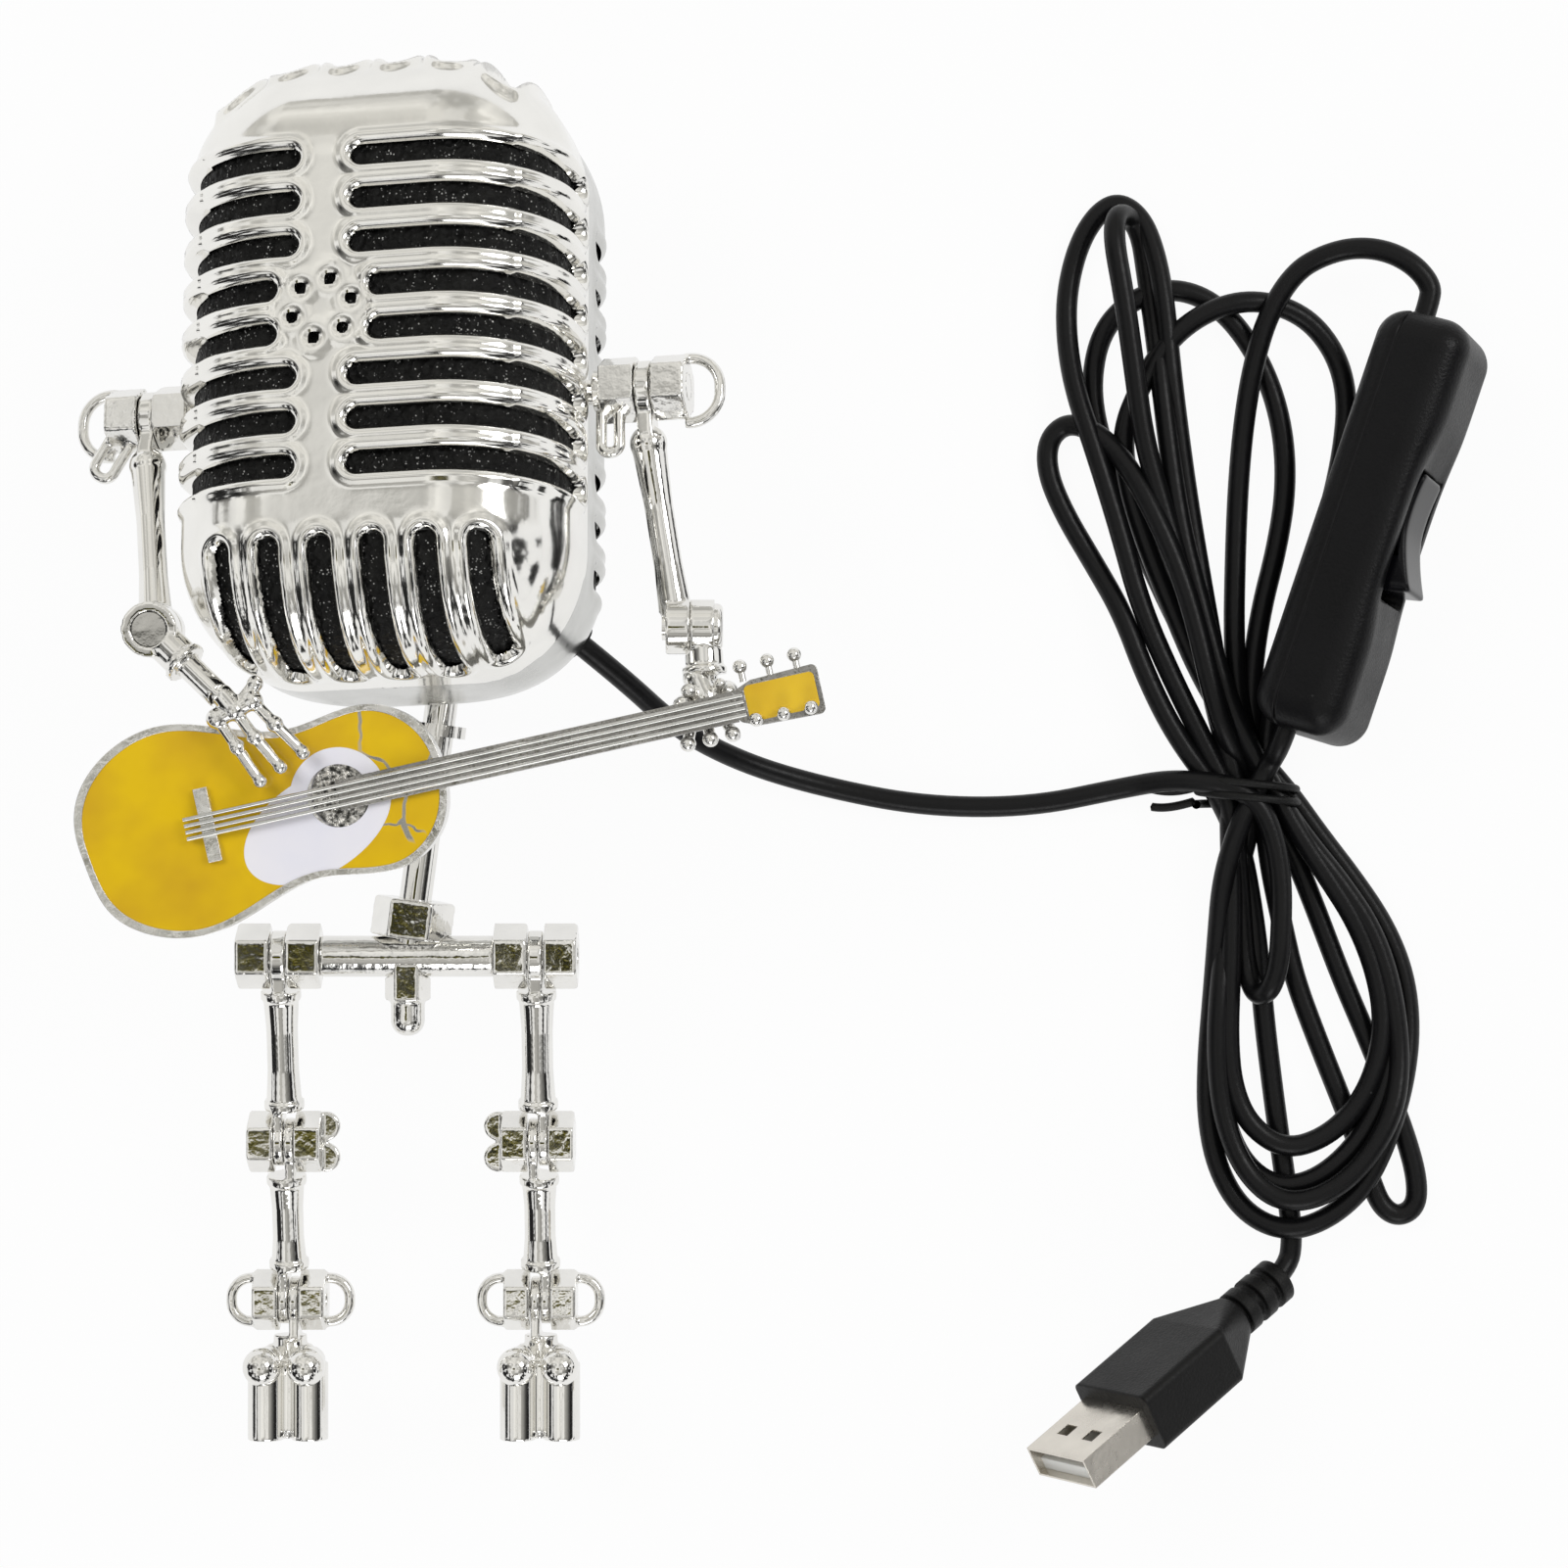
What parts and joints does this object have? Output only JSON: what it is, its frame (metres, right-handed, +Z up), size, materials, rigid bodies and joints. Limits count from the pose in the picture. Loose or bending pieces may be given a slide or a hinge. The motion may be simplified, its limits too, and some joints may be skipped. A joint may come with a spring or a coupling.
{
  "type": "desk lamp",
  "caption": "Metal robot desk lamp with a ribbed microphone head, swing arms holding a guitar, jointed legs and a tied cord with an inline rocker switch and USB plug.",
  "frame": {"origin": "middle of the lamp's own box (without the cord and what is on it) on the surface it lies on", "axes": "+Z up from the surface, the way the face looks; +Y from the feet to the crown; +X to the right seen from above"},
  "size_m": [0.1943, 0.1903, 0.0628],
  "materials": {
    "chrome": "polished",
    "foam": "granular black foam with bright specks",
    "board": "matt white",
    "led": "clear over yellow phosphor",
    "diffuser": "frosted",
    "steel": "plain",
    "rubber": "matt",
    "enamel": "glossy yellow enamel",
    "white_enamel": "glossy white enamel",
    "black_plastic": "fine matt grain",
    "rocker_plastic": "satin",
    "tie": "smooth",
    "nickel": "bright nickel",
    "tongue": "plain"
  },
  "bodies": {
    "head": {"front_shell": "chrome", "rear_shell": "chrome", "liner_front": "foam", "liner_rear": "foam", "led_board": "board", "led_chips": "led", "diffuser": "diffuser", "head_screws": "steel", "cable_grommet": "rubber", "shoulder_bolts": "chrome", "shoulder_inner_nuts": "chrome", "right_wing_nut": "chrome", "left_wing_nut": "chrome", "cord_lead": "rubber", "cord_hank": "rubber", "cord_switch_in": "rubber", "cord_switch_out": "rubber", "cord_tail": "rubber", "twist_tie": "tie", "switch_lower": "black_plastic", "switch_upper": "black_plastic", "plug_overmold": "rubber", "usb_shell": "nickel", "usb_tongue": "tongue"},
    "switch_rocker": {"rocker": "rocker_plastic"},
    "right_arm": {"right_upper_arm": "chrome", "right_elbow_screw": "chrome", "right_forearm": "chrome", "right_hand": "chrome", "guitar_body": "chrome", "guitar_enamel": "enamel", "pickguard": "white_enamel", "guitar_neck": "chrome", "headstock_enamel": "enamel", "guitar_strings": "chrome", "tuners": "chrome"},
    "left_arm": {"left_upper_arm": "chrome", "left_elbow_screw": "chrome"},
    "left_lower_arm": {"left_forearm": "chrome", "left_hand": "chrome"},
    "torso": {"neck_washer": "chrome", "spine_rod": "chrome", "hip_nut": "chrome", "hip_bar": "chrome", "tail_bolt": "chrome", "hip_nuts": "chrome"},
    "right_upper_leg": {"right_thigh": "chrome", "right_knee_bolt": "chrome", "right_knee_wing_nut": "chrome"},
    "right_lower_leg": {"right_shin": "chrome", "right_ankle_bolt": "chrome", "right_ankle_wing_nut": "chrome"},
    "right_foot_body": {"right_foot": "chrome"},
    "left_upper_leg": {"left_thigh": "chrome", "left_knee_bolt": "chrome", "left_knee_wing_nut": "chrome"},
    "left_lower_leg": {"left_shin": "chrome", "left_ankle_bolt": "chrome", "left_ankle_wing_nut": "chrome"},
    "left_foot_body": {"left_foot": "chrome"}
  },
  "joints": [
    {"name": "neck_swivel", "type": "hinge", "parent": "head", "child": "torso", "pos_m": [-0.00194, 0.00537, 0.022], "axis": [0.1318, 0.9913, 0], "range_deg": [-30, 30]},
    {"name": "right_shoulder", "type": "hinge", "parent": "head", "child": "right_arm", "pos_m": [0.02685, 0.04908, 0.03875], "axis": [-0.9839, -0.043, -0.1736], "range_deg": [0, 15]},
    {"name": "left_shoulder", "type": "hinge", "parent": "head", "child": "left_arm", "pos_m": [-0.03986, 0.04616, 0.02697], "axis": [-0.9839, -0.043, -0.1736], "range_deg": [0, 15]},
    {"name": "left_elbow", "type": "hinge", "parent": "left_arm", "child": "left_lower_arm", "pos_m": [-0.03714, 0.01717, 0.041], "axis": [0, 0, 1], "range_deg": [-14, 1]},
    {"name": "right_hip", "type": "hinge", "parent": "torso", "child": "right_upper_leg", "pos_m": [0.01126, -0.02623, 0.022], "axis": [-1, 0, 0], "range_deg": [-15, 75]},
    {"name": "right_knee", "type": "hinge", "parent": "right_upper_leg", "child": "right_lower_leg", "pos_m": [0.01126, -0.05197, 0.01612], "axis": [1, 0, 0], "range_deg": [0, 90]},
    {"name": "right_ankle", "type": "hinge", "parent": "right_lower_leg", "child": "right_foot_body", "pos_m": [0.01126, -0.07439, 0.011], "axis": [1, 0, 0], "range_deg": [-25, 25]},
    {"name": "left_hip", "type": "hinge", "parent": "torso", "child": "left_upper_leg", "pos_m": [-0.02354, -0.02623, 0.022], "axis": [-1, 0, 0], "range_deg": [-15, 75]},
    {"name": "left_knee", "type": "hinge", "parent": "left_upper_leg", "child": "left_lower_leg", "pos_m": [-0.02354, -0.05197, 0.01612], "axis": [1, 0, 0], "range_deg": [0, 90]},
    {"name": "left_ankle", "type": "hinge", "parent": "left_lower_leg", "child": "left_foot_body", "pos_m": [-0.02354, -0.07439, 0.011], "axis": [1, 0, 0], "range_deg": [-25, 25]},
    {"name": "rocker_pivot", "type": "hinge", "parent": "head", "child": "switch_rocker", "pos_m": [0.12903, 0.03164, 0.01222], "axis": [0.4008, -0.1341, -0.9063], "range_deg": [0, 20]}
  ],
  "couplings": [
    {"joint": "left_shoulder", "follows": "right_shoulder", "ratio": 1}
  ]
}
